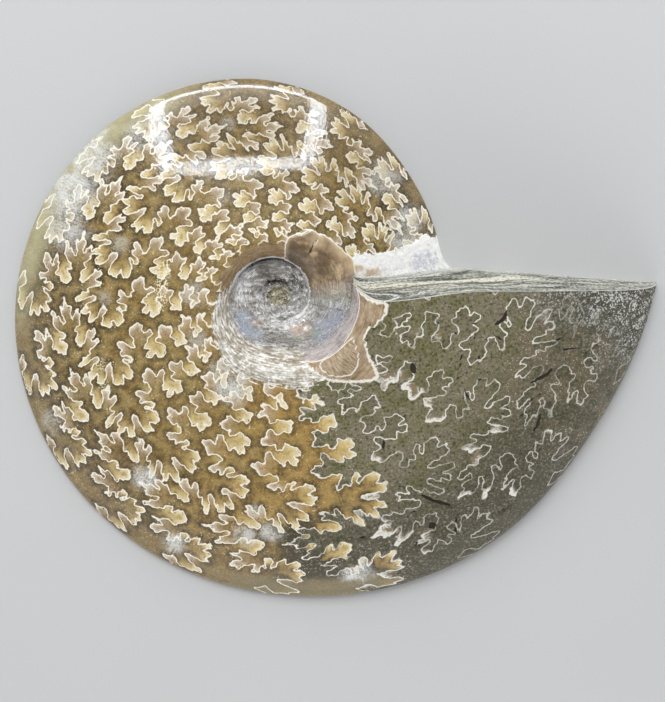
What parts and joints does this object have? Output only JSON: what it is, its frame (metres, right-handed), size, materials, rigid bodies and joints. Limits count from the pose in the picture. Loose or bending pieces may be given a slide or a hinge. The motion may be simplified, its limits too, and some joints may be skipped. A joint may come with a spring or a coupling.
{
  "type": "ammonite fossil half",
  "caption": "Polished ammonite fossil sawn in half through its middle plane, with a coiled rounded side, a sunk umbilicus, a flat aperture face and a flat sawn back to lie on.",
  "frame": {"origin": "under the middle of the bounding box, on the plane of the flat sawn back", "axes": "+Z out of the rounded side, away from the sawn back; +X along the longest extent, towards the tip of the aperture; +Y towards the top of the coil as it is shown upright"},
  "size_m": [0.1404, 0.1146, 0.0196],
  "materials": {
    "fossil": "polished golden calcite with cream suture lines, grey-green sandstone fill near the aperture and nacre in the umbilicus"
  },
  "bodies": {
    "root": {"ammonite_half": "fossil"}
  },
  "joints": []
}
